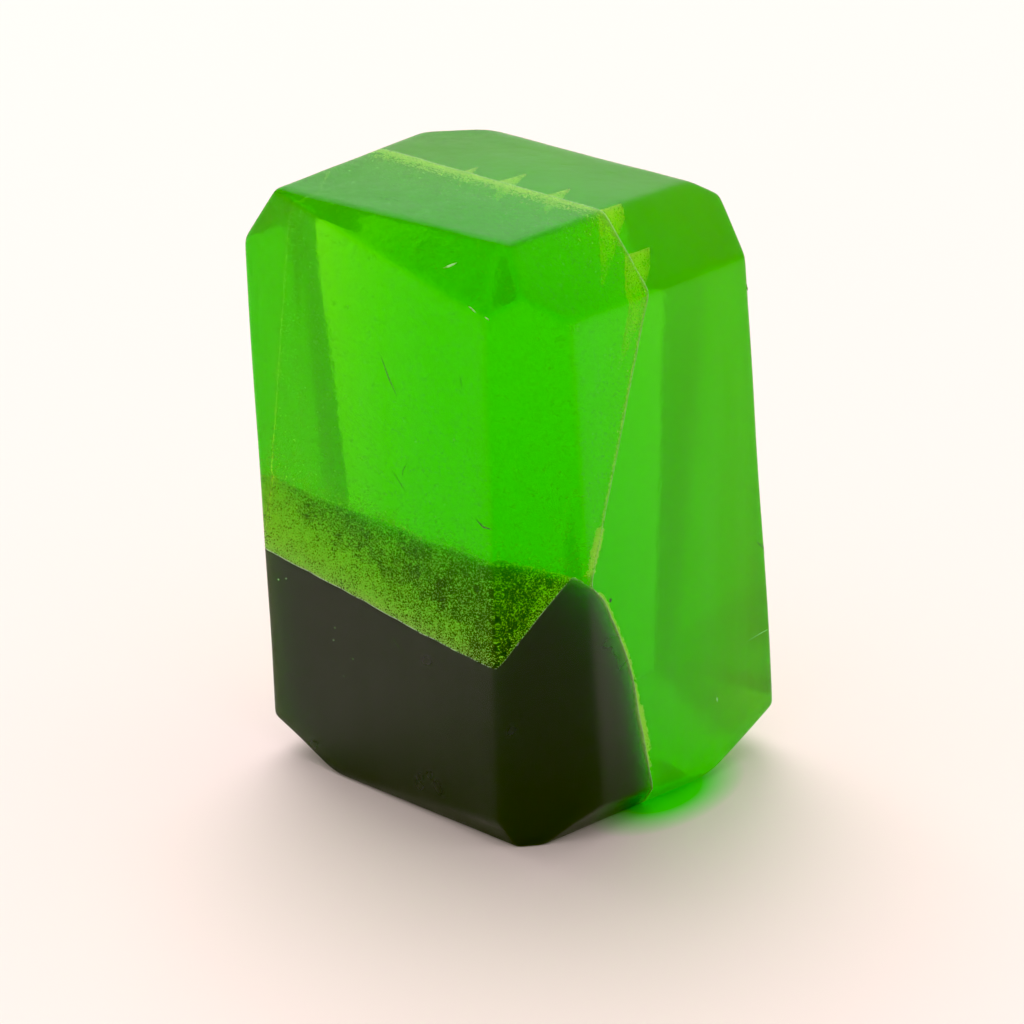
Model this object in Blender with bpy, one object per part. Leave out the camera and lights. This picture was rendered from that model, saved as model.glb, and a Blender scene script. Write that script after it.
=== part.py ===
"""Faceted soap bar: a block of melt-and-pour glycerin soap, cut by knife to look like an emerald crystal.

The bar stands on a small end face. It is one bonded solid of three castings. A dark chunk lies at the foot,
a clear casting was poured on its sloping top, and a second clear casting fills in behind both. A thin layer
of froth marks each join. Every face is one straight knife cut through a square blank, so the bar is the
blank less what the cuts take away.

Frame: +Z up, the broad front face looks along -Y, the broad right face along +X. Units are metres.
"""

import math

import bmesh
import bpy
from mathutils import Matrix, Vector

BLANK_SIDE = 0.120
HUB = Vector((0.0, 0.0, 0.035))  # the point that every cut's distance is measured from
FROTH = 0.0004  # thickness of a froth layer
GAP = 0.0003  # clearance that keeps two castings from sharing a face
HALF = FROTH / 2
CLEAR = HALF + GAP

# A cut is (turn, tilt, distance): the outward normal's heading in degrees from +X towards +Y, its climb in
# degrees above the horizontal, and how far from the hub the knife passed.
FACETS = {
    "top": (34.5, 88.0, 0.0341),
    "base": (0.0, -90.0, 0.0350),
    "front": (-91.5, -2.5, 0.0196),
    "right": (-1.5, 1.0, 0.0196),
    "left": (180.0, 0.0, 0.0226),
    "back": (90.0, 3.0, 0.0198),
    "front_right_corner": (-40.5, -2.5, 0.0228),
    "back_left_corner": (142.0, 8.0, 0.0224),
    "back_right_corner": (62.0, 6.0, 0.0242),
    "front_shoulder": (-78.5, 44.5, 0.0364),
    "right_shoulder": (0.0, 46.5, 0.0326),
    "left_shoulder": (-177.0, 37.0, 0.0356),
    "back_shoulder": (93.5, 55.5, 0.0348),
    "front_foot": (-88.5, -28.5, 0.0318),
    "right_foot": (-9.5, -40.0, 0.0360),
    "left_foot": (-176.5, -67.5, 0.0376),
    "back_foot": (81.0, -67.5, 0.0364),
}

# The dark chunk's own faces, cut before the clear soap was poured round it.
SLOPE = (-88.5, 28.0, 0.0113)
CREST = (90.0, 45.5, -0.0107)
UPPER_BACK = (90.0, 23.5, -0.0109)
LOWER_BACK = (90.0, 12.5, -0.0081)
CHUNK = (SLOPE, CREST, UPPER_BACK, LOWER_BACK)

# The face of the first clear pour, which the second was poured against. It looks forward.
SEAM = (-84.5, 17.0, 0.0116)

# name: (colour, roughness, transmission)
FINISHES = {
    "dark_pour": ((0.012, 0.020, 0.008, 1.0), 0.22, 0.05),
    "front_pour": ((0.060, 0.560, 0.010, 1.0), 0.16, 0.85),
    "rear_pour": ((0.050, 0.500, 0.010, 1.0), 0.16, 0.85),
    "froth": ((0.420, 0.620, 0.300, 1.0), 0.45, 0.20),
}


def reset_scene():
    for old in list(bpy.data.objects):
        bpy.data.objects.remove(old, do_unlink=True)


def new_collection(name):
    collection = bpy.data.collections.new(name)
    bpy.context.scene.collection.children.link(collection)
    return collection


def finish(name):
    colour, roughness, transmission = FINISHES[name]
    material = bpy.data.materials.new(name)
    material.use_nodes = True
    shader = material.node_tree.nodes["Principled BSDF"]
    shader.inputs["Base Color"].default_value = colour
    shader.inputs["Roughness"].default_value = roughness
    shader.inputs["Metallic"].default_value = 0.0
    shader.inputs["IOR"].default_value = 1.47
    shader.inputs["Transmission Weight"].default_value = transmission
    material.diffuse_color = colour
    return material


def outward(cut):
    turn, tilt = math.radians(cut[0]), math.radians(cut[1])
    return Vector((math.cos(tilt) * math.cos(turn), math.cos(tilt) * math.sin(turn), math.sin(tilt)))


def keep_behind(solid, cut, offset=0.0):
    """Cuts the solid along the plane, moved outward by offset, and keeps what lies behind it."""
    normal = outward(cut)
    knife_point = HUB + normal * (cut[2] + offset)
    slice_flat(solid, knife_point, normal)


def keep_ahead(solid, cut, offset=0.0):
    """The same, keeping what lies ahead of the plane."""
    normal = outward(cut)
    knife_point = HUB + normal * (cut[2] + offset)
    slice_flat(solid, knife_point, -normal)


def slice_flat(solid, point, away):
    geometry = solid.verts[:] + solid.edges[:] + solid.faces[:]
    cut = bmesh.ops.bisect_plane(solid, geom=geometry, plane_co=point, plane_no=away, clear_outer=True)
    rim = [item for item in cut["geom_cut"] if isinstance(item, bmesh.types.BMEdge)]
    if rim:
        bmesh.ops.edgeloop_fill(solid, edges=rim)
    bmesh.ops.recalc_face_normals(solid, faces=solid.faces)


def blank():
    solid = bmesh.new()
    bmesh.ops.create_cube(solid, size=BLANK_SIDE, matrix=Matrix.Translation(HUB))
    return solid


def gem():
    """The whole bar's outer shape: the blank less every facet."""
    solid = blank()
    for cut in FACETS.values():
        keep_behind(solid, cut)
    return solid


def floor_offset():
    """The move that puts the bar's box centre over the origin, with the base on z = 0."""
    solid = gem()
    points = [vertex.co for vertex in solid.verts]
    low = [min(point[axis] for point in points) for axis in range(3)]
    high = [max(point[axis] for point in points) for axis in range(3)]
    solid.free()
    return Vector((-(low[0] + high[0]) / 2, -(low[1] + high[1]) / 2, -low[2]))


def chunk_block(growth):
    """Everything behind the dark chunk's own faces, each moved outward by growth."""
    solid = blank()
    for cut in CHUNK:
        keep_behind(solid, cut, growth)
    return solid


def add_object(name, solid, collection, material=None):
    mesh = bpy.data.meshes.new(name)
    solid.to_mesh(mesh)
    solid.free()
    thing = bpy.data.objects.new(name, mesh)
    thing.location = STAND
    collection.objects.link(thing)
    if material:
        mesh.materials.append(material)
    return thing


def add_cutter(name, solid):
    cutter = add_object(name, solid, CUTTERS)
    cutter.hide_render = True
    cutter.display_type = "WIRE"
    return cutter


def subtract(thing, cutter):
    modifier = thing.modifiers.new("less_" + cutter.name, "BOOLEAN")
    modifier.operation = "DIFFERENCE"
    modifier.object = cutter


def make_dark_pour():
    solid = gem()
    for cut in CHUNK:
        keep_behind(solid, cut, -CLEAR)
    add_object("dark_pour", solid, BAR, finish("dark_pour"))


def make_front_pour(chunk_and_froth):
    solid = gem()
    keep_ahead(solid, SEAM, CLEAR)
    thing = add_object("front_pour", solid, BAR, finish("front_pour"))
    subtract(thing, chunk_and_froth)


def make_rear_pour(chunk_and_froth):
    solid = gem()
    keep_behind(solid, SEAM, -CLEAR)
    thing = add_object("rear_pour", solid, BAR, finish("rear_pour"))
    subtract(thing, chunk_and_froth)


def make_seam_froth(chunk_and_froth, froth):
    solid = gem()
    keep_ahead(solid, SEAM, -HALF)
    keep_behind(solid, SEAM, HALF)
    thing = add_object("seam_froth", solid, BAR, froth)
    subtract(thing, chunk_and_froth)


def make_slope_froth(froth):
    solid = gem()
    keep_ahead(solid, SLOPE, -HALF)
    keep_behind(solid, SLOPE, HALF)
    keep_behind(solid, CREST, HALF)
    add_object("slope_froth", solid, BAR, froth)


def make_rear_froth(chunk_core, froth):
    solid = gem()
    keep_behind(solid, SLOPE, -CLEAR)
    for cut in (CREST, UPPER_BACK, LOWER_BACK):
        keep_behind(solid, cut, HALF)
    thing = add_object("rear_froth", solid, BAR, froth)
    subtract(thing, chunk_core)


def make_chunk_core():
    """The space inside rear_froth. Its front is open, so it runs past the bar's front."""
    solid = blank()
    for cut in (CREST, UPPER_BACK, LOWER_BACK):
        keep_behind(solid, cut, -HALF)
    return add_cutter("chunk_core", solid)


reset_scene()
BAR = new_collection("faceted_soap_bar")
CUTTERS = new_collection("cutters")
STAND = floor_offset()

chunk_and_froth = add_cutter("chunk_and_froth", chunk_block(CLEAR))
froth = finish("froth")
make_dark_pour()
make_front_pour(chunk_and_froth)
make_rear_pour(chunk_and_froth)
make_seam_froth(chunk_and_froth, froth)
make_slope_froth(froth)
make_rear_froth(make_chunk_core(), froth)
CUTTERS.hide_render = True
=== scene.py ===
"""Looks of the faceted soap bar: three castings parted from one knife-cut block, and the froth between them.

The block is the CAD's own set of knife cuts, meshed finely enough to round its edges and bow its faces. Two
wavy sheets part it into the castings: upright_sheet, which has rear_pour behind it, and slope_sheet, between
dark_pour and front_pour. Each froth layer is a thin film with separate bubbles. Lengths in the geometry are
millimetres, and a mesh turns into metres as it becomes an object.
"""

import math

import bmesh
import bpy
import numpy as np
from mathutils import Matrix, Vector


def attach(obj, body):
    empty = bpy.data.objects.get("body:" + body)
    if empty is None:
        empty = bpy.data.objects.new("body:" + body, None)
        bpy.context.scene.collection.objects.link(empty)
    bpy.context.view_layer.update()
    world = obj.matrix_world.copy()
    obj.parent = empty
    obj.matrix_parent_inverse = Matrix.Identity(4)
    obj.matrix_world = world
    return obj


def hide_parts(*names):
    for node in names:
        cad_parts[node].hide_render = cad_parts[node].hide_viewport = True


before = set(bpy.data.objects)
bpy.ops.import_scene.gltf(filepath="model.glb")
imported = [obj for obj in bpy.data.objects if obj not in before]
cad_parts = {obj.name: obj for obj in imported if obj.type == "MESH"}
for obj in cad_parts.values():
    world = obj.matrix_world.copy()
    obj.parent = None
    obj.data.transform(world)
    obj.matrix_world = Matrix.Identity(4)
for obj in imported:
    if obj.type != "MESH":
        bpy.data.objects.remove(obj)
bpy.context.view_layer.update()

MM = 0.001
BLANK_SIDE = 120.0
HUB = np.array((0.0, 0.0, 35.0))

# The CAD's knife cuts: the outward normal's heading and climb in degrees, and the distance from the hub.
FACETS = {
    "top": (34.5, 88.0, 34.1),
    "base": (0.0, -90.0, 35.0),
    "front": (-91.5, -2.5, 19.6),
    "right": (-1.5, 1.0, 19.6),
    "left": (180.0, 0.0, 22.6),
    "back": (90.0, 3.0, 19.8),
    "front_right_corner": (-40.5, -2.5, 22.8),
    "back_left_corner": (142.0, 8.0, 22.4),
    "back_right_corner": (62.0, 6.0, 24.2),
    "front_shoulder": (-78.5, 44.5, 36.4),
    "right_shoulder": (0.0, 46.5, 32.6),
    "left_shoulder": (-177.0, 37.0, 35.6),
    "back_shoulder": (93.5, 55.5, 34.8),
    "front_foot": (-88.5, -28.5, 31.8),
    "right_foot": (-9.5, -40.0, 36.0),
    "left_foot": (-176.5, -67.5, 37.6),
    "back_foot": (81.0, -67.5, 36.4),
}
SLOPE = (-88.5, 28.0, 11.3)
CREST = (90.0, 45.5, -10.7)
UPPER_BACK = (90.0, 23.5, -10.9)
LOWER_BACK = (90.0, 12.5, -8.1)
SEAM = (-84.5, 17.0, 11.6)

EDGE_SOFTNESS = 0.20  # how far the smooth maximum of two cuts rounds the edge between them
EDGE_LOOPS = (0.13, 0.36, 0.8)  # depths under each cut where the mesh is sliced, so that edges can bend
BASE_WEAR = 0.02
BOW, BOW_SIZE = 0.10, 17.0  # depth and width of the skin's slow bows
WAVE, WAVE_SIZE = 0.035, 3.2  # the same of the waves from the blade, which are stretched along Z
GRID_STEP = 1.1
SHEET_STEP = 0.9
PROBE = 0.02  # half the distance over which the skin's slope is measured
SEAM_BEND, BACK_BEND = 0.25, 0.35  # softness of the corners where the parting planes meet
POUR_GAP = 0.06
FILM = 0.02  # thickness of the froth film in the gap between two castings
SMALLEST_BUBBLE, LARGEST_BUBBLE = 0.03, 0.30
BUBBLE_COVER = 1.2  # least depth of a bubble's centre under the skin, in its own radii
CROWD = "crowd"  # a point attribute: how much of a froth film its smallest bubbles cover
JOIN = "join"  # a face attribute: 1 on the faces where a casting meets another, 0 on the skin


def outward(cut):
    turn, climb = math.radians(cut[0]), math.radians(cut[1])
    level = math.cos(climb)
    return np.array((level * math.cos(turn), level * math.sin(turn), math.sin(climb)))


def plane(cut):
    """(outward normal, offset from the origin) of a cut."""
    normal = outward(cut)
    return normal, cut[2] + normal @ HUB


NORMALS = np.array([plane(cut)[0] for cut in FACETS.values()])
OFFSETS = np.array([plane(cut)[1] for cut in FACETS.values()])


# ---------------------------------------------------------------- value noise, the same on every run


def lattice(i, j, k, seed):
    h = (i * 374761393 + j * 668265263 + k * 2147483647 + seed * 974634777) & 0xFFFFFFFF
    h = ((h ^ (h >> 13)) * 1274126177) & 0xFFFFFFFF
    h = ((h ^ (h >> 16)) * 2246822519) & 0xFFFFFFFF
    return ((h >> 8) & 0xFFFF) / 32767.5 - 1.0


def noise3(points, scale, seed):
    """Smooth noise from -1 to 1 at points, with features of about scale millimetres."""
    at = np.asarray(points, float) / scale
    low = np.floor(at).astype(np.int64)
    part = at - low
    part = part * part * (3 - 2 * part)
    total = np.zeros(len(at))
    for corner in range(8):
        step = np.array((corner & 1, corner >> 1 & 1, corner >> 2 & 1))
        weight = np.prod(np.where(step == 1, part, 1 - part), axis=1)
        total += weight * lattice(*(low + step).T, seed)
    return total


# ---------------------------------------------------------------- the outside


def skin_wear(points):
    """How far the skin lies inside its knife cuts: bows, and waves from the blade. The base stays flat."""
    bow = BOW * (1 + noise3(points, BOW_SIZE, 3))
    wave = WAVE * (1 + noise3(points * (1.0, 1.0, 0.22), WAVE_SIZE, 5))
    return BASE_WEAR + (bow + wave) * np.clip(points[:, 2] / 2.0, 0, 1)


def field(points):
    """The skin is where this is 0. It is the smooth maximum of the cuts, with the wear taken off."""
    heights = points @ NORMALS.T - OFFSETS
    peak = heights.max(axis=1)
    softness = EDGE_SOFTNESS * (1 + 0.5 * noise3(points, 14.0, 4))
    rounded = peak + softness * np.log(np.exp((heights - peak[:, None]) / softness[:, None]).sum(axis=1))
    return rounded + skin_wear(points)


def settle_on_skin(points):
    """Moves points that lie near the block's faces onto the worn, rounded skin."""
    for _ in range(4):
        value = field(points)
        slope = np.empty_like(points)
        for axis in range(3):
            step = np.zeros(3)
            step[axis] = PROBE
            slope[:, axis] = (field(points + step) - field(points - step)) / (2 * PROBE)
        points = points - slope * (value / (slope**2).sum(axis=1))[:, None]
    return points


def bisect(solid, point, normal, geometry=None, discard=False):
    """Slices the solid along a plane. With discard, what lies ahead of the plane goes."""
    geometry = geometry or (solid.verts[:] + solid.edges[:] + solid.faces[:])
    return bmesh.ops.bisect_plane(
        solid, geom=geometry, dist=1e-5, plane_co=Vector(point), plane_no=Vector(normal), clear_outer=discard
    )


def cut_away(solid, point, normal):
    """Removes what lies ahead of the plane and returns the faces that close the opening."""
    made = bisect(solid, point, normal, discard=True)
    rim = [item for item in made["geom_cut"] if isinstance(item, bmesh.types.BMEdge)]
    return bmesh.ops.edgeloop_fill(solid, edges=rim)["faces"] if rim else []


def knife_block():
    """The blank with every knife cut made: a closed solid with flat faces."""
    solid = bmesh.new()
    bmesh.ops.create_cube(solid, size=BLANK_SIDE, matrix=Matrix.Translation(HUB))
    for normal, offset in zip(NORMALS, OFFSETS):
        cut_away(solid, normal * offset, normal)
    bmesh.ops.recalc_face_normals(solid, faces=solid.faces)
    return solid


def block_box(solid):
    points = np.array([vertex.co for vertex in solid.verts])
    return points.min(axis=0), points.max(axis=0)


def slice_grid(solid, low, high, step):
    """Slices the solid into cells about one step wide. The faces stay where they are."""
    for axis in range(3):
        normal = np.eye(3)[axis]
        count = int((high[axis] - low[axis]) / step)
        for index in range(1, count + 1):
            bisect(solid, normal * (low[axis] + index * (high[axis] - low[axis]) / (count + 1)), normal)


def simple_subdivide(solid, levels):
    """The solid with every face divided flat, as a new bmesh."""
    mesh = bpy.data.meshes.new("scratch")
    solid.to_mesh(mesh)
    solid.free()
    holder = bpy.data.objects.new("scratch", mesh)
    bpy.context.scene.collection.objects.link(holder)
    modifier = holder.modifiers.new("divide", "SUBSURF")
    modifier.subdivision_type = "SIMPLE"
    modifier.levels = levels
    graph = bpy.context.evaluated_depsgraph_get()
    divided = bmesh.new()
    divided.from_mesh(holder.evaluated_get(graph).to_mesh())
    bpy.data.objects.remove(holder)
    bpy.data.meshes.remove(mesh)
    return divided


def coordinates(solid):
    return np.array([vertex.co for vertex in solid.verts])


def set_coordinates(solid, points):
    for vertex, point in zip(solid.verts, points):
        vertex.co = point


def worn_block():
    """The whole bar's skin as one closed mesh, in the CAD's cutting frame."""
    solid = knife_block()
    low, high = block_box(solid)
    for normal, offset in zip(NORMALS, OFFSETS):
        for depth in EDGE_LOOPS:
            bisect(solid, normal * (offset - depth), normal)
    slice_grid(solid, low, high, GRID_STEP)
    solid = simple_subdivide(solid, 1)
    set_coordinates(solid, settle_on_skin(coordinates(solid)))
    solid.faces.layers.float.new(JOIN)
    return solid, (low, high)


# ---------------------------------------------------------------- the sheets that part the castings


def soft_max(a, b, softness):
    """The larger of a and b, with a rounded corner where they are equal."""
    return np.maximum(a, b) + softness * np.log1p(np.exp(-np.abs(a - b) / softness))


def plane_y(cut, x, z):
    """Where the cut's plane lies in Y, at x and z."""
    normal, offset = plane(cut)
    return (offset - normal[0] * x - normal[2] * z) / normal[1]


def plane_z(cut, x, y):
    """Where the cut's plane lies in Z, at x and y."""
    normal, offset = plane(cut)
    return (offset - normal[0] * x - normal[1] * y) / normal[2]


def chunk_back_y(x, z):
    """The dark chunk's rounded back, as a depth in Y."""
    lines = [-plane_y(cut, x, z) for cut in (CREST, UPPER_BACK, LOWER_BACK)]
    return -soft_max(soft_max(lines[0], lines[1], BACK_BEND), lines[2], BACK_BEND)


def upright_sheet(x, z):
    """Depth in Y of the sheet between what lies in front, front_pour and dark_pour, and rear_pour behind."""
    at = np.stack([x, np.zeros_like(x), z], axis=1)
    ripple = 0.22 * noise3(at, 7.0, 11) + 0.07 * noise3(at, 1.9, 12)
    return soft_max(plane_y(SEAM, x, z), chunk_back_y(x, z), SEAM_BEND) + ripple


def slope_sheet(x, y):
    """Height in Z of the sheet between dark_pour below and front_pour above."""
    at = np.stack([x, y, np.zeros_like(x)], axis=1)
    ripple = 0.20 * noise3(at, 6.0, 21) + 0.10 * noise3(at, 1.7, 22)
    return -soft_max(-plane_z(SLOPE, x, y), -plane_z(CREST, x, y), SEAM_BEND) + ripple


def part_block(block, warp_axis, sheet, side, gap):
    """The part of the block on one side of a sheet.

    The block is sheared so that the sheet is flat, cut, its cap divided, and sheared back.
    """
    solid = block.copy()
    across = [axis for axis in range(3) if axis != warp_axis]
    points = coordinates(solid)
    points[:, warp_axis] -= sheet(points[:, across[0]], points[:, across[1]])
    set_coordinates(solid, points)
    normal = np.eye(3)[warp_axis] * side
    cap = cut_away(solid, -normal * gap / 2, normal)
    tag = solid.faces.layers.float[JOIN]
    for face in cap:
        face[tag] = 1.0
    divide_cap(solid, cap, across)
    points = coordinates(solid)
    points[:, warp_axis] += sheet(points[:, across[0]], points[:, across[1]])
    set_coordinates(solid, points)
    return solid


def divide_cap(solid, cap, across):
    """Divides flat cap faces into cells, so that they can follow their sheet's ripples."""
    rim = np.array([vertex.co for face in cap for vertex in face.verts])
    geometry = [*cap, *{item for face in cap for item in (*face.verts, *face.edges)}]
    for axis in across:
        low, high = rim[:, axis].min(), rim[:, axis].max()
        count = int((high - low) / SHEET_STEP)
        for index in range(1, count + 1):
            where = np.eye(3)[axis] * (low + index * (high - low) / (count + 1))
            geometry = bisect(solid, where, np.eye(3)[axis], geometry=geometry)["geom"]


# ---------------------------------------------------------------- objects


def spindle(solid, path, width, look):
    """A slim closed sliver along a path on the skin: a scratch, nick or speck. The look is its slot."""
    path = np.array(path)
    steps = np.linspace(0.0, 1.0, 7)
    at = steps * (len(path) - 1)
    first = np.minimum(at.astype(int), len(path) - 2)
    middle = path[first] + (path[first + 1] - path[first]) * (at - first)[:, None]
    middle = settle_on_skin(middle)
    along = np.gradient(middle, axis=0)
    along /= np.linalg.norm(along, axis=1)[:, None]
    out = np.array([NORMALS[np.argmax(NORMALS @ point - OFFSETS)] for point in middle])
    side = np.cross(along, out)
    half = width * np.sin(np.pi * np.clip(steps, 0.04, 0.96))[:, None]
    rings = []
    for offset in (side * half, out * 0.02, -side * half, -out * 0.02):
        rings.append([solid.verts.new(point) for point in middle + offset])
    made = []
    for ring, after in zip(rings, rings[1:] + rings[:1]):
        for a, b, c, d in zip(ring, ring[1:], after[1:], after):
            made.append(solid.faces.new((a, b, c, d)))
    made.append(solid.faces.new([ring[0] for ring in rings]))
    made.append(solid.faces.new([ring[-1] for ring in rings][::-1]))
    for face in made:
        face.material_index = look


def add_piece(name, solid, materials, marks, stands_for):
    """One casting as an object, with its marks. The materials are the soap, then a scratch's, dark with
    painted shade, and a chip's, pale with a painted glint.
    """
    for path, width, look in marks:
        spindle(solid, path, width, look)
    bmesh.ops.recalc_face_normals(solid, faces=solid.faces)
    mesh = bpy.data.meshes.new(name)
    solid.to_mesh(mesh)
    solid.free()
    mesh.transform(Matrix.Scale(MM, 4) @ Matrix.Translation(STAND))
    for material in materials:
        mesh.materials.append(material)
    mesh.shade_smooth()
    mesh.set_sharp_from_angle(angle=math.radians(40))
    piece = bpy.data.objects.new(name, mesh)
    bpy.context.scene.collection.objects.link(piece)
    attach(piece, "root")
    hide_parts(*stands_for)


def new_material(name):
    material = bpy.data.materials.new(name)
    material.use_nodes = True
    tree = material.node_tree
    tree.nodes.clear()
    return material, tree


def add_node(tree, kind, **values):
    """A shader node with the given input values and settings."""
    node = tree.nodes.new(kind)
    for name, value in values.items():
        if name in node.inputs:
            node.inputs[name].default_value = value
        else:
            setattr(node, name, value)
    return node


def soap_body(tree, tint, density, haze_tint, fog):
    """What fills a casting: dye that absorbs, and a slight haze that scatters the light forward."""
    dye = add_node(tree, "ShaderNodeVolumeAbsorption")
    dye.inputs["Color"].default_value = tint
    dye.inputs["Density"].default_value = density
    haze = add_node(tree, "ShaderNodeVolumeScatter")
    haze.inputs["Color"].default_value = haze_tint
    haze.inputs["Density"].default_value = fog
    haze.inputs["Anisotropy"].default_value = 0.5
    both = tree.nodes.new("ShaderNodeAddShader")
    tree.links.new(dye.outputs["Volume"], both.inputs[0])
    tree.links.new(haze.outputs["Volume"], both.inputs[1])
    return both.outputs["Shader"]


def noise_node(tree, where, scale, detail, stretch=(1.0, 1.0, 1.0)):
    """Noise over the bar's own coordinates, in features of 1 / scale metres."""
    mapping = add_node(tree, "ShaderNodeMapping", vector_type="POINT")
    mapping.inputs["Scale"].default_value = stretch
    noise = add_node(tree, "ShaderNodeTexNoise", Scale=scale, Detail=detail)
    tree.links.new(where, mapping.inputs["Vector"])
    tree.links.new(mapping.outputs["Vector"], noise.inputs["Vector"])
    return noise.outputs["Fac"]


def remap(tree, value, from_low, from_high, to_low, to_high):
    ramp = add_node(tree, "ShaderNodeMapRange")
    ramp.inputs["From Min"].default_value = from_low
    ramp.inputs["From Max"].default_value = from_high
    ramp.inputs["To Min"].default_value = to_low
    ramp.inputs["To Max"].default_value = to_high
    tree.links.new(value, ramp.inputs["Value"])
    return ramp.outputs["Result"]


def combine(tree, operation, a, b):
    node = add_node(tree, "ShaderNodeMath", operation=operation)
    for socket, value in zip(node.inputs, (a, b)):
        if isinstance(value, (int, float)):
            socket.default_value = value
        else:
            tree.links.new(value, socket)
    return node.outputs[0]


def dress_skin(tree, skin, tone, roughness):
    """Knife drag marks, pebbling and smudges on a casting's skin."""
    where = tree.nodes.new("ShaderNodeTexCoord").outputs["Object"]
    pebble = noise_node(tree, where, 900.0, 4.0)
    drag = noise_node(tree, where, 420.0, 2.0, (1.0, 1.0, 0.1))
    height = combine(tree, "ADD", pebble, combine(tree, "MULTIPLY", drag, 1.6))
    bump = add_node(tree, "ShaderNodeBump", Strength=1.0, Distance=0.00003)
    tree.links.new(height, bump.inputs["Height"])
    tree.links.new(bump.outputs["Normal"], skin.inputs["Normal"])
    smudge = noise_node(tree, where, 160.0, 3.0)
    tree.links.new(remap(tree, smudge, 0.25, 0.75, roughness, roughness * 3), skin.inputs["Roughness"])
    skin.inputs["Base Color"].default_value = tone


def soap(name, roughness, tone, sheen, tint, density, haze_tint, fog):
    """Soap round an absorbing body: a satin refracting skin, and joins that light goes straight through."""
    material, tree = new_material(name)
    link = tree.links.new
    output = tree.nodes.new("ShaderNodeOutputMaterial")
    skin = add_node(tree, "ShaderNodeBsdfPrincipled")
    skin.inputs["IOR"].default_value = 1.47
    skin.inputs["Transmission Weight"].default_value = 1.0
    skin.inputs["Specular Tint"].default_value = sheen
    dress_skin(tree, skin, tone, roughness)
    through = add_node(tree, "ShaderNodeBsdfTransparent")
    joins = add_node(tree, "ShaderNodeAttribute", attribute_name=JOIN)
    which = tree.nodes.new("ShaderNodeMixShader")
    link(joins.outputs["Fac"], which.inputs["Fac"])
    link(skin.outputs["BSDF"], which.inputs[1])
    link(through.outputs["BSDF"], which.inputs[2])
    link(which.outputs["Shader"], output.inputs["Surface"])
    link(soap_body(tree, tint, density, haze_tint, fog), output.inputs["Volume"])
    return material


# ---------------------------------------------------------------- froth


def film_from_joins(casting, belongs, crowd):
    """A thin closed film just off those join faces of a casting that belong, with its crowd attribute."""
    solid = casting.copy()
    tag = solid.faces.layers.float[JOIN]
    spare = [face for face in solid.faces if face[tag] < 0.5 or not belongs(face.calc_center_median())]
    bmesh.ops.delete(solid, geom=spare, context="FACES")
    for layer in list(solid.faces.layers.float.values()):
        solid.faces.layers.float.remove(layer)
    for vertex in solid.verts:
        vertex.normal_update()
    near = coordinates(solid)
    away = np.array([vertex.normal for vertex in solid.verts])
    set_coordinates(solid, near + away * (POUR_GAP - FILM) / 2)
    made = bmesh.ops.extrude_face_region(solid, geom=solid.faces[:], use_keep_orig=True)["geom"]
    outer = [item for item in made if isinstance(item, bmesh.types.BMVert)]
    for vertex in outer:
        vertex.co += vertex.normal * FILM
    bmesh.ops.recalc_face_normals(solid, faces=solid.faces)
    layer = solid.verts.layers.float.new(CROWD)
    for vertex, value in zip(solid.verts, crowd(coordinates(solid))):
        vertex[layer] = value
    return solid


def sphere_template():
    ball = bmesh.new()
    bmesh.ops.create_icosphere(ball, subdivisions=1, radius=1.0)
    points = coordinates(ball)
    faces = np.array([[vertex.index for vertex in face.verts] for face in ball.faces])
    ball.free()
    return points, faces


def turned(random, count):
    """Random rotation matrices, one for each of count bubbles."""
    quaternions = random.normal(size=(count, 4))
    quaternions /= np.linalg.norm(quaternions, axis=1)[:, None]
    w, x, y, z = quaternions.T
    rows = [
        [1 - 2 * (y * y + z * z), 2 * (x * y - w * z), 2 * (x * z + w * y)],
        [2 * (x * y + w * z), 1 - 2 * (x * x + z * z), 2 * (y * z - w * x)],
        [2 * (x * z - w * y), 2 * (y * z + w * x), 1 - 2 * (x * x + y * y)],
    ]
    return np.moveaxis(np.array(rows), 2, 0)


def froth_piece(name, film, centres, radii, stands_for, random, looks):
    """One froth layer: its film, and the bubbles that stand out of it, with the looks of film and bubbles."""
    points, faces = sphere_template()
    stretch = random.uniform(0.75, 1.15, size=(len(centres), 1, 3))
    spin = turned(random, len(centres))
    placed = np.einsum("nij,npj->npi", spin, points[None] * stretch) * radii[:, None, None] + centres[:, None]
    joined = faces[None] + np.arange(len(centres))[:, None, None] * len(points)
    mesh = bpy.data.meshes.new(name)
    mesh.from_pydata(placed.reshape(-1, 3).tolist(), [], joined.reshape(-1, 3).tolist())
    mesh.polygons.foreach_set("material_index", np.ones(len(mesh.polygons), np.int32))
    film.from_mesh(mesh)
    film.to_mesh(mesh)
    film.free()
    mesh.transform(Matrix.Scale(MM, 4) @ Matrix.Translation(STAND))
    for look in looks:
        mesh.materials.append(look)
    mesh.shade_smooth()
    piece = bpy.data.objects.new(name, mesh)
    bpy.context.scene.collection.objects.link(piece)
    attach(piece, "root")
    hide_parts(stands_for)


def depth_in_bar(points):
    return -field(points)


def kept_inside(points, radii):
    """Which bubbles lie wholly under the skin."""
    return depth_in_bar(points) > radii * BUBBLE_COVER


def bubble_radii(random, count, middle, spread):
    return np.clip(middle * np.exp(random.normal(0, spread, count)), SMALLEST_BUBBLE, LARGEST_BUBBLE)


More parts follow.
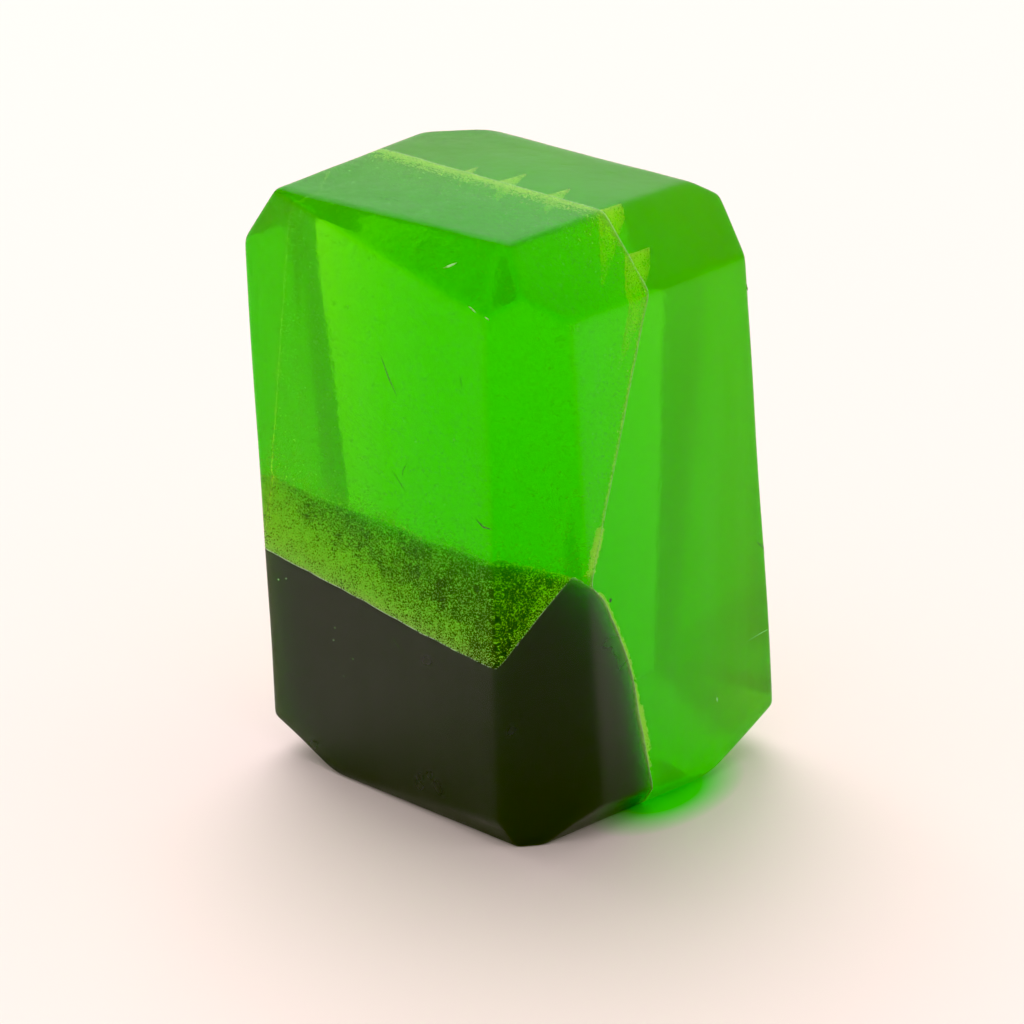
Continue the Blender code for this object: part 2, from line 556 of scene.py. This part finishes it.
def rim_bubbles(random, count, ranges, spread, deepest, middle):
    """Bubbles of an upright layer close under the skin, where it shows as a frosty rim: centres and radii.

    The ranges are in x and z, the spread is in y from the sheet, and the middle is the usual radius.
    """
    (x_low, x_high), (z_low, z_high) = ranges
    x = random.uniform(x_low, x_high, count)
    z = random.uniform(z_low, z_high, count)
    radii = bubble_radii(random, count, middle, 0.3)
    y = upright_sheet(x, z) + random.uniform(spread[0], spread[1], count)
    centres = np.stack([x, y, z], axis=1)
    depth = depth_in_bar(centres)
    patchy = 0.65 + 0.5 * noise3(centres, 2.2, 51)
    keep = (depth > radii * BUBBLE_COVER) & (depth < deepest) & (random.uniform(size=count) < patchy)
    return centres[keep], radii[keep]


def slope_crowd(points):
    """Crowding of the slope's froth: more to the left and close under the skin, in patches."""
    depth = depth_in_bar(points)
    leftward = np.clip((12.0 - points[:, 0]) / 34.0, 0, 1)
    patchy = 0.12 * noise3(points, 3.5, 31)
    crowd = 0.19 + 0.22 * leftward + patchy + (0.2 + 0.6 * leftward) * np.exp(-depth / 2.2)
    return np.minimum(crowd, 0.74)


def slope_froth(film, looks):
    random = np.random.default_rng(7)
    count = 20000
    x = random.uniform(block_low[0], block_high[0], count)
    y = random.uniform(-22.0, -12.5, count)
    radii = bubble_radii(random, count, 0.055, 0.35)
    z = slope_sheet(x, y) + radii * 0.5
    centres = np.stack([x, y, z], axis=1)
    ahead = upright_sheet(x, z) - y
    keep = (ahead > 0.1) & kept_inside(centres, radii) & (random.uniform(size=count) < slope_crowd(centres))
    froth_piece("slope_froth_bubbles", film, centres[keep], radii[keep], "slope_froth", random, looks)


def seam_crowd(points):
    """Crowding of the seam's froth: most at the skin, under the top face and just over the dark chunk."""
    depth = depth_in_bar(points)
    over = points[:, 2] - slope_sheet(points[:, 0], points[:, 1])
    under_top = OFFSETS[0] - points @ NORMALS[0]
    rightward = np.clip((points[:, 0] + 18.0) / 8.0, 0, 1)
    edge = 0.7 * rightward * np.exp(-depth / 0.4) + 0.65 * np.exp(-under_top / 2.2)
    return 0.03 + edge + 0.35 * np.exp(-np.maximum(over, 0) / 2.0)


def seam_froth(film, looks):
    random = np.random.default_rng(8)
    count = 16000
    x = random.uniform(block_low[0], block_high[0], count)
    z = random.uniform(30.0, 70.5, count)
    radii = bubble_radii(random, count, 0.08, 0.35)
    y = upright_sheet(x, z) + random.normal(0, 0.08, count)
    centres = np.stack([x, y, z], axis=1)
    over = z - slope_sheet(x, y)
    keep = (over > 0.1) & kept_inside(centres, radii) & (random.uniform(size=count) < seam_crowd(centres) / 2)
    top_rim = rim_bubbles(random, 12000, ((-19.0, 13.0), (68.3, 70.2)), (-0.7, 0.2), 0.8, 0.09)
    top_band = rim_bubbles(random, 9000, ((-17.0, 14.0), (68.3, 70.2)), (-2.2, -0.4), 0.6, 0.07)
    side_rim = rim_bubbles(random, 9000, ((17.5, 20.0), (33.5, 66.0)), (-0.12, 0.12), 0.4, 0.07)
    low_rim = rim_bubbles(random, 5000, ((17.5, 20.0), (32.5, 37.5)), (-0.5, 0.5), 0.9, 0.10)
    centres = np.concatenate([centres[keep], top_rim[0], top_band[0], side_rim[0], low_rim[0]])
    radii = np.concatenate([radii[keep], top_rim[1], top_band[1], side_rim[1], low_rim[1]])
    froth_piece("seam_froth_bubbles", film, centres, radii, "seam_froth", random, looks)


def rear_crowd(points):
    """Crowding of the froth behind the dark chunk: most close under the skin."""
    return 0.15 + 0.8 * np.exp(-depth_in_bar(points) / 0.7)


def rear_froth(film, looks):
    random = np.random.default_rng(9)
    count = 16000
    x = random.uniform(block_low[0], block_high[0], count)
    z = random.uniform(0.0, 34.0, count)
    radii = bubble_radii(random, count, 0.08, 0.35)
    y = upright_sheet(x, z) + radii * 0.4
    centres = np.stack([x, y, z], axis=1)
    below = z < slope_sheet(x, y)
    keep = below & kept_inside(centres, radii) & (random.uniform(size=count) < rear_crowd(centres))
    side_rim = rim_bubbles(random, 16000, ((17.5, 20.6), (6.0, 30.0)), (-0.05, 0.45), 0.8, 0.09)
    low_rim = rim_bubbles(random, 5000, ((18.0, 20.6), (8.0, 14.0)), (-0.1, 0.9), 1.1, 0.10)
    centres = np.concatenate([centres[keep], side_rim[0], low_rim[0]])
    radii = np.concatenate([radii[keep], side_rim[1], low_rim[1]])
    froth_piece("rear_froth_bubbles", film, centres, radii, "rear_froth", random, looks)


# each: x of its middle, half width, reach back, reach down, lean and noise seed
FINS = [
    (-6.5, 0.30, 2.6, 4.0, 0.3, 41),
    (-1.5, 0.70, 4.8, 5.0, 0.6, 42),
    (4.8, 0.55, 3.8, 5.0, 0.5, 43),
    (11.2, 0.50, 4.6, 9.0, 0.4, 44),
    (15.3, 0.45, 4.6, 11.0, 0.3, 45),
]
FIN_COVER = 0.22  # how far under the skin a flake of froth starts
FIN_TOP_CROWD = 0.66
FIN_CROWD_DROP = 0.36  # how much less crowded a flake is at its foot


def under_skin(x, z):
    """Depth under the skin of the point at x and z on the upright sheet."""
    y = upright_sheet(np.array([x]), np.array([z]))[0]
    return depth_in_bar(np.array([[x, y, z]]))[0]


def fin(x, width, back, down, lean, seed):
    """A flake of froth standing out of the seam into the rear pour: a wedge, jagged along its free edge."""
    levels = 26
    down_steps = np.linspace(0.0, 1.0, levels)
    along_noise = np.stack([down_steps * 9, np.full(levels, 1.5), np.full(levels, seed + 0.5)], axis=1)
    jag = noise3(along_noise, 1.0, seed)
    solid = bmesh.new()
    rings = []
    top = 70.0
    while under_skin(x - width, top) < FIN_COVER or under_skin(x + width, top) < FIN_COVER:
        top -= 0.05
    for share, rough in zip(down_steps, jag):
        z = top - share * down
        out = back * (1 - share**1.6) * (0.82 + 0.18 * rough) + 0.15
        half = width * (1 - 0.6 * share) * (0.85 + 0.15 * rough)
        middle = x + lean * share
        root = upright_sheet(np.array([middle]), np.array([z]))[0] + POUR_GAP
        outline = [(-half, 0.0), (-0.45 * half, 0.35 * out), (-0.2 * half, 0.7 * out), (0.0, out)]
        outline += [(0.2 * half, 0.66 * out), (0.5 * half, 0.3 * out), (half, 0.0)]
        rings.append([solid.verts.new((middle + across, root + along, z)) for across, along in outline])
    for above, below in zip(rings, rings[1:]):
        for index in range(len(above)):
            after = (index + 1) % len(above)
            solid.faces.new((above[index], above[after], below[after], below[index]))
    solid.faces.new(rings[0])
    solid.faces.new(rings[-1])
    bmesh.ops.recalc_face_normals(solid, faces=solid.faces)
    layer = solid.verts.layers.float.new(CROWD)
    for vertex in solid.verts:
        vertex[layer] = FIN_TOP_CROWD - FIN_CROWD_DROP * (top - vertex.co.z) / down
    return solid


def seam_fins():
    """The five flakes that stand out of the seam near the top, as one piece."""
    together = bmesh.new()
    for values in FINS:
        flake = fin(*values)
        scratch = bpy.data.meshes.new("scratch")
        flake.to_mesh(scratch)
        flake.free()
        together.from_mesh(scratch)
        bpy.data.meshes.remove(scratch)
    return together


# the looks of the marks: a scratch painted dark for the shade in its groove, and a chip painted pale for the
# glint off its broken face
DARK_MARK, PALE_MARK = 1, 2
# each: a path on the skin, the half width of its sliver, and its look
FRONT_MARKS = [
    ([(-2.3, -20.4, 54.7), (-1.3, -20.4, 52.4), (-0.2, -20.3, 50.6)], 0.09, DARK_MARK),
    ([(10.5, -20.1, 39.5), (11.5, -20.1, 38.9), (12.8, -20.1, 39.0)], 0.12, DARK_MARK),
    ([(-1.5, -19.9, 41.6), (-0.4, -19.9, 40.4), (0.4, -19.8, 39.5)], 0.045, DARK_MARK),
    ([(1.1, -20.0, 43.6), (0.1, -19.9, 41.9), (-0.1, -19.9, 40.9)], 0.035, DARK_MARK),
    ([(-7.2, -14.8, 69.6), (-5.3, -14.1, 69.6)], 0.05, DARK_MARK),
    ([(9.0, -20.8, 55.5), (9.2, -20.7, 54.0)], 0.04, DARK_MARK),
    ([(5.8, -19.6, 66.2), (6.4, -19.2, 66.5), (7.0, -18.7, 66.9)], 0.15, PALE_MARK),
    ([(10.4, -21.1, 63.7), (11.6, -21.2, 63.2)], 0.13, PALE_MARK),
    ([(12.7, -21.2, 63.1), (13.4, -21.2, 62.8)], 0.11, PALE_MARK),
]
REAR_MARKS = [
    ([(19.6, 14.3, 58.0), (19.6, 15.0, 57.2)], 0.18, DARK_MARK),
    ([(20.3, 14.9, 15.3), (20.4, 17.4, 15.4), (20.5, 20.0, 15.4)], 0.05, PALE_MARK),
    ([(20.2, 16.2, 27.2), (20.2, 17.7, 25.6)], 0.05, DARK_MARK),
    ([(20.2, 17.1, 26.6), (20.3, 18.6, 24.9)], 0.05, DARK_MARK),
    ([(20.2, 18.0, 25.9), (20.3, 19.3, 24.3)], 0.05, PALE_MARK),
    ([(20.4, 9.6, 10.4), (20.4, 9.8, 9.6)], 0.12, PALE_MARK),
]
CHUNK_MARKS = [
    ([(-2.6, -18.9, 21.0), (-1.4, -18.9, 19.8)], 0.05, DARK_MARK),
    ([(-20.4, -18.5, 22.3), (-20.1, -18.5, 22.3)], 0.10, PALE_MARK),
    ([(-19.1, -18.6, 22.9), (-18.9, -18.6, 22.8)], 0.10, PALE_MARK),
    ([(-11.7, -18.6, 19.2), (-11.5, -18.6, 19.1)], 0.07, PALE_MARK),
    ([(-12.0, -18.5, 17.5), (-11.8, -18.5, 17.5)], 0.09, PALE_MARK),
    ([(-9.1, -18.6, 16.2), (-8.9, -18.6, 16.1)], 0.06, PALE_MARK),
    ([(-10.7, -18.4, 13.4), (-10.5, -18.4, 13.4)], 0.06, PALE_MARK),
    ([(19.5, -8.4, 28.9), (19.5, -8.3, 28.4)], 0.22, DARK_MARK),
]


def mark_material(name, colour):
    """A mark's rough face: matt, and mottled so that it doesn't read as paint. Its colour is painted light:
    dark for the shade in a scratch's groove, pale for the glint off a chip's broken face.
    """
    material, tree = new_material(name)
    output = tree.nodes.new("ShaderNodeOutputMaterial")
    rough = add_node(tree, "ShaderNodeBsdfPrincipled", Roughness=0.5)
    where = tree.nodes.new("ShaderNodeTexCoord").outputs["Object"]
    shade = add_node(tree, "ShaderNodeMix", data_type="RGBA")
    shade.inputs["A"].default_value = colour
    shade.inputs["B"].default_value = (0.10, 0.45, 0.02, 1)
    mottle = noise_node(tree, where, 3000.0, 1.0)
    tree.links.new(remap(tree, mottle, 0.45, 0.7, 0.0, 1.0), shade.inputs["Factor"])
    tree.links.new(shade.outputs["Result"], rough.inputs["Base Color"])
    tree.links.new(rough.outputs["BSDF"], output.inputs["Surface"])
    return material


def over_slope(point):
    return point.z > slope_sheet(np.array([point.x]), np.array([point.y]))[0]


def on_slope(point):
    x, y, z = (np.array([value]) for value in point)
    return abs(slope_sheet(x, y) - z)[0] < abs(upright_sheet(x, z) - y)[0]


# the froth's emission colour: a painted glow that stands in for light scattered inside the soap
PAINTED_SCATTER_GLOW = (0.50, 0.90, 0.15, 1.0)


def film_material(name, colour, clearness, glow_strength):
    """Froth too fine for separate bubbles: a speckle of foam and clear gaps, as dense as crowd says. Its foam
    carries a painted glow that stands in for light scattered inside the soap.
    """
    material, tree = new_material(name)
    link = tree.links.new
    output = tree.nodes.new("ShaderNodeOutputMaterial")
    place = tree.nodes.new("ShaderNodeTexCoord")
    grain = add_node(tree, "ShaderNodeTexNoise", Scale=6000.0, Detail=1.0, Roughness=0.6)
    patches = add_node(tree, "ShaderNodeTexNoise", Scale=700.0, Detail=2.0)
    blend = add_node(tree, "ShaderNodeMath", operation="MULTIPLY_ADD")
    blend.inputs[1].default_value = 0.3
    crowd = add_node(tree, "ShaderNodeAttribute", attribute_name=CROWD)
    cover = add_node(tree, "ShaderNodeMath", operation="MULTIPLY_ADD")
    cover.inputs[1].default_value = 0.4
    ramp = add_node(tree, "ShaderNodeMapRange", interpolation_type="SMOOTHSTEP")
    ramp.inputs["From Min"].default_value = 0.82
    ramp.inputs["From Max"].default_value = 0.88
    foam = add_node(tree, "ShaderNodeBsdfPrincipled")
    foam.inputs["Base Color"].default_value = colour
    foam.inputs["Roughness"].default_value = 0.6
    foam.inputs["Emission Color"].default_value = PAINTED_SCATTER_GLOW
    foam.inputs["Emission Strength"].default_value = glow_strength
    clear = tree.nodes.new("ShaderNodeBsdfTransparent")
    mix = tree.nodes.new("ShaderNodeMixShader")
    glow = add_node(tree, "ShaderNodeBsdfTranslucent", Color=colour)
    lit = tree.nodes.new("ShaderNodeMixShader")
    lit.inputs["Fac"].default_value = clearness
    link(foam.outputs["BSDF"], lit.inputs[1])
    link(glow.outputs["BSDF"], lit.inputs[2])
    link(place.outputs["Object"], grain.inputs["Vector"])
    link(place.outputs["Object"], patches.inputs["Vector"])
    link(patches.outputs["Fac"], blend.inputs[0])
    link(grain.outputs["Fac"], blend.inputs[2])
    link(crowd.outputs["Fac"], cover.inputs[0])
    link(blend.outputs[0], cover.inputs[2])
    link(cover.outputs[0], ramp.inputs["Value"])
    link(ramp.outputs["Result"], mix.inputs["Fac"])
    link(clear.outputs["BSDF"], mix.inputs[1])
    link(lit.outputs["Shader"], mix.inputs[2])
    link(mix.outputs["Shader"], output.inputs["Surface"])
    return material


def froth_material(name, colour, glow_strength):
    """Bubbles large enough to be seen. Their glow stands in for light that many scatterings bring them."""
    material, tree = new_material(name)
    output = tree.nodes.new("ShaderNodeOutputMaterial")
    foam = add_node(tree, "ShaderNodeBsdfPrincipled")
    foam.inputs["Base Color"].default_value = colour
    foam.inputs["Roughness"].default_value = 0.3
    foam.inputs["Emission Color"].default_value = PAINTED_SCATTER_GLOW
    foam.inputs["Emission Strength"].default_value = glow_strength
    glow = add_node(tree, "ShaderNodeBsdfTranslucent", Color=colour)
    lit = tree.nodes.new("ShaderNodeMixShader")
    tree.links.new(foam.outputs["BSDF"], lit.inputs[1])
    tree.links.new(glow.outputs["BSDF"], lit.inputs[2])
    tree.links.new(lit.outputs["Shader"], output.inputs["Surface"])
    return material


CLEAR_TONE = (0.72, 0.98, 0.25, 1.0)
CLEAR_SHEEN = (0.1, 0.3, 0.05, 1.0)
CLEAR_DENSITY = 600.0
CLEAR_TINT = (0.885, 0.9925, 0.0, 1.0)
CLEAR_HAZE = (0.95, 1.0, 0.0, 1.0)
FRONT_FOG = 14.0
REAR_FOG = 34.0
DARK_TONE = (0.85, 0.90, 0.85, 1.0)
DARK_SHEEN = (0.40, 0.45, 0.60, 1.0)
DARK_DENSITY = 2500.0
DARK_TINT = (0.62, 0.82, 0.0, 1.0)
DARK_HAZE = (1.0, 0.95, 1.0, 1.0)
DARK_FOG = 150.0

block, (block_low, block_high) = worn_block()
block_middle = (block_low + block_high) / 2
STAND = Vector((-block_middle[0], -block_middle[1], -block_low[2]))  # moves the block onto the CAD's origin

front_half = part_block(block, 1, upright_sheet, 1, POUR_GAP)
rear = part_block(block, 1, upright_sheet, -1, POUR_GAP)
front = part_block(front_half, 2, slope_sheet, -1, POUR_GAP)
dark = part_block(front_half, 2, slope_sheet, 1, POUR_GAP)
block.free()
front_half.free()
slope_film = film_from_joins(dark, on_slope, slope_crowd)
seam_film = film_from_joins(rear, over_slope, seam_crowd)
rear_film = film_from_joins(rear, lambda point: not over_slope(point), rear_crowd)
clear_body = (CLEAR_TONE, CLEAR_SHEEN, CLEAR_TINT, CLEAR_DENSITY, CLEAR_HAZE)
front_soap = soap("front_soap", 0.05, *clear_body, FRONT_FOG)
rear_soap = soap("rear_soap", 0.06, *clear_body, REAR_FOG)
dark_soap = soap("dark_soap", 0.10, DARK_TONE, DARK_SHEEN, DARK_TINT, DARK_DENSITY, DARK_HAZE, DARK_FOG)
# the scratch's dark colour is painted shade, and the chip's pale colour is a painted glint
marks = [mark_material("scratch", (0.01, 0.07, 0.005, 1)), mark_material("chip_glint", (0.35, 0.75, 0.25, 1))]
add_piece("front_pour_soap", front, [front_soap, *marks], FRONT_MARKS, ["front_pour"])
add_piece("rear_pour_soap", rear, [rear_soap, *marks], REAR_MARKS, ["rear_pour"])
add_piece("dark_pour_soap", dark, [dark_soap, *marks], CHUNK_MARKS, ["dark_pour"])

# the last number of each is the strength of its painted glow
froth = froth_material("froth", (0.88, 1.0, 0.72, 1), 0.12)
froth_film = film_material("froth_film", (0.66, 0.95, 0.58, 1), 0.2, 0.02)
flake_film = film_material("flake_film", (0.98, 1.0, 0.60, 1), 0.8, 0.4)
slope_froth(slope_film, [froth_film, froth])
seam_froth(seam_film, [froth_film, froth])
rear_froth(rear_film, [froth_film, froth])
no_centres = np.zeros((0, 3))
no_radii = np.zeros(0)
seeded = np.random.default_rng(10)
froth_piece("seam_froth_fins", seam_fins(), no_centres, no_radii, "seam_froth", seeded, [flake_film, froth])


# where the floor under the right foot is painted green, a painted pool of the light that has come through the
# rear pour, in metres
PAINTED_SPILL_CENTRE = (0.0190, 0.0032, 0.0)
PAINTED_SPILL_REACH = (0.0066, 0.0120, 1.0)


def floor():
    material, tree = new_material("pale_floor")
    output = tree.nodes.new("ShaderNodeOutputMaterial")
    paper = add_node(tree, "ShaderNodeBsdfPrincipled")
    # painted light: the floor's colour mixes towards green in the pool of light that comes through the rear
    # pour
    glow = add_node(tree, "ShaderNodeMix", data_type="RGBA")
    glow.inputs["A"].default_value = (0.90, 0.765, 0.755, 1)
    glow.inputs["B"].default_value = (0.04, 0.80, 0.0, 1)
    place = tree.nodes.new("ShaderNodeTexCoord")
    mapping = add_node(tree, "ShaderNodeMapping", vector_type="TEXTURE")
    mapping.inputs["Location"].default_value = PAINTED_SPILL_CENTRE
    mapping.inputs["Scale"].default_value = PAINTED_SPILL_REACH
    far = add_node(tree, "ShaderNodeVectorMath", operation="LENGTH")
    tree.links.new(place.outputs["Object"], mapping.inputs["Vector"])
    tree.links.new(mapping.outputs["Vector"], far.inputs[0])
    tree.links.new(remap(tree, far.outputs["Value"], 0.45, 1.0, 1.0, 0.0), glow.inputs["Factor"])
    tree.links.new(glow.outputs["Result"], paper.inputs["Base Color"])
    paper.inputs["Roughness"].default_value = 0.6
    tree.links.new(paper.outputs["BSDF"], output.inputs["Surface"])
    solid = bmesh.new()
    bmesh.ops.create_grid(solid, x_segments=8, y_segments=8, size=4.0)
    mesh = bpy.data.meshes.new("floor")
    solid.to_mesh(mesh)
    solid.free()
    mesh.materials.append(material)
    ground = bpy.data.objects.new("floor", mesh)
    bpy.context.scene.collection.objects.link(ground)


WINDOW = (-0.28, 0.33, 0.90)  # where the brightest part of the light tent lies: behind the bar and above it


def studio_world():
    world = bpy.data.worlds.new("light_tent")
    bpy.context.scene.world = world
    world.use_nodes = True
    tree = world.node_tree
    background = tree.nodes["Background"]
    background.inputs["Color"].default_value = (1.0, 0.965, 0.93, 1)
    place = tree.nodes.new("ShaderNodeTexCoord")
    toward = add_node(tree, "ShaderNodeVectorMath", operation="DOT_PRODUCT")
    toward.inputs[1].default_value = WINDOW
    tree.links.new(place.outputs["Generated"], toward.inputs[0])
    tree.links.new(remap(tree, toward.outputs["Value"], -0.25, 0.9, 0.40, 1.0), background.inputs["Strength"])


def softbox(name, turn, climb, distance, side, power):
    """A square area light aimed at the bar. Turn 0 is in front, at -Y, and 90 at +X."""
    turn, climb = math.radians(turn), math.radians(climb)
    back = Vector((math.sin(turn) * math.cos(climb), -math.cos(turn) * math.cos(climb), math.sin(climb)))
    data = bpy.data.lights.new(name, "AREA")
    data.size = side
    data.energy = power
    data.color = (1.0, 0.97, 0.93)
    lamp = bpy.data.objects.new(name, data)
    lamp.visible_glossy = False
    lamp.location = AIM + back * distance
    lamp.rotation_mode = "QUATERNION"
    lamp.rotation_quaternion = (-back).to_track_quat("-Z", "Y")
    bpy.context.scene.collection.objects.link(lamp)


CAMERA_TURN = 40.8
CAMERA_CLIMB = 24.6
CAMERA_DISTANCE = 0.4034
FIELD_OF_VIEW = 16.0
AIM = Vector((0.0, -0.001, 0.0303))


def camera():
    turn, climb = math.radians(CAMERA_TURN), math.radians(CAMERA_CLIMB)
    back = Vector((math.sin(turn) * math.cos(climb), -math.cos(turn) * math.cos(climb), math.sin(climb)))
    data = bpy.data.cameras.new("camera")
    data.angle = math.radians(FIELD_OF_VIEW)
    data.clip_start = 0.01
    data.clip_end = 20.0
    eye = bpy.data.objects.new("camera", data)
    eye.location = AIM + back * CAMERA_DISTANCE
    eye.rotation_mode = "QUATERNION"
    eye.rotation_quaternion = (-back).to_track_quat("-Z", "Y")
    bpy.context.scene.collection.objects.link(eye)
    bpy.context.scene.camera = eye


floor()
studio_world()
softbox("key_softbox", 236.0, 60.0, 3.0, 2.2, 57.5)
camera()
scene = bpy.context.scene
scene.view_settings.view_transform = "Standard"
scene.view_settings.use_curve_mapping = True
scene.view_settings.curve_mapping.black_level = (0.003, 0.0, 0.012)
scene.cycles.volume_bounces = 12
scene.cycles.max_bounces = 32
scene.cycles.transmission_bounces = 24
scene.cycles.transparent_max_bounces = 48
